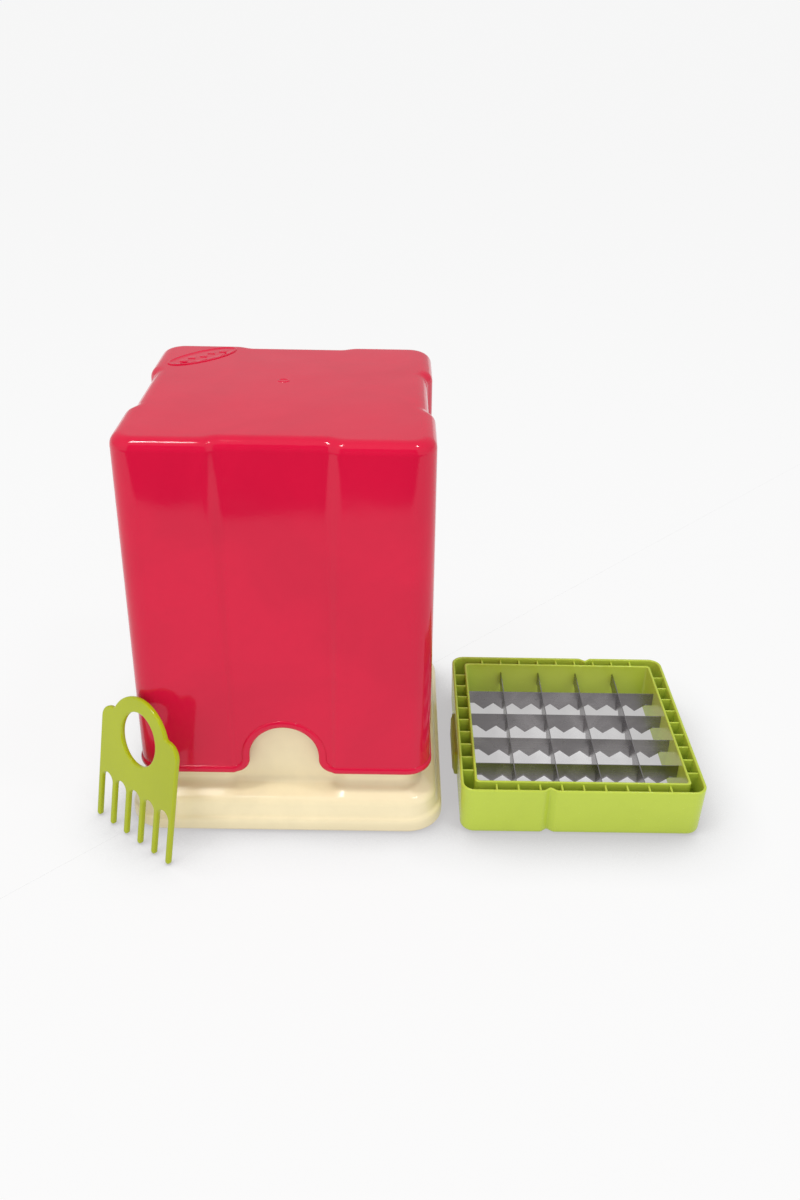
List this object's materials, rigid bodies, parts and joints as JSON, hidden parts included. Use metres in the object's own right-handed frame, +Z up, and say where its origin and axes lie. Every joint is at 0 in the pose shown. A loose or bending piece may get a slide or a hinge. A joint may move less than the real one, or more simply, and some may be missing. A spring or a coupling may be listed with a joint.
{
  "type": "vegetable dicer",
  "caption": "Square hand dicer: tall pusher cap sliding over a flared container, lift-out frame of crossed toothed blades, and a six-tine cleaning comb.",
  "frame": {"origin": "centre of the container's bottom face, on the surface that the dicer stands on", "axes": "+Z up; +X to the right, from the container towards the blade frame beside it; -Y is the side that faces the comb's tines and the viewer"},
  "size_m": [0.3558, 0.212, 0.236],
  "materials": {
    "cream_plastic": "glossy moulded plastic, cream",
    "red_plastic": "high gloss moulded plastic, crimson red",
    "natural_plastic": "natural white moulded plastic",
    "green_plastic": "semi-gloss moulded plastic, lime green",
    "comb_plastic": "semi-gloss moulded plastic, lime green",
    "blade_steel": "bright cold-rolled stainless strip"
  },
  "bodies": {
    "base": {"container_base": "cream_plastic"},
    "cap": {"pusher_cap": "red_plastic", "pusher_grid": "natural_plastic"},
    "frame": {"blade_frame": "green_plastic", "cross_blade_1": "blade_steel", "cross_blade_2": "blade_steel", "cross_blade_3": "blade_steel", "cross_blade_4": "blade_steel", "long_blade_1": "blade_steel", "long_blade_2": "blade_steel", "long_blade_3": "blade_steel", "long_blade_4": "blade_steel"},
    "comb": {"cleaning_comb": "comb_plastic"}
  },
  "joints": [
    {"name": "cap_lift", "type": "slide", "parent": "base", "child": "cap", "axis": [0, 0, 1], "range_m": [0, 0.21]},
    {"name": "frame_lift_off", "type": "slide", "parent": "base", "child": "frame", "axis": [0, 0, 1], "range_m": [0, 0.2]},
    {"name": "comb_lift_off", "type": "slide", "parent": "base", "child": "comb", "axis": [0, 0, 1], "range_m": [0, 0.15]}
  ]
}
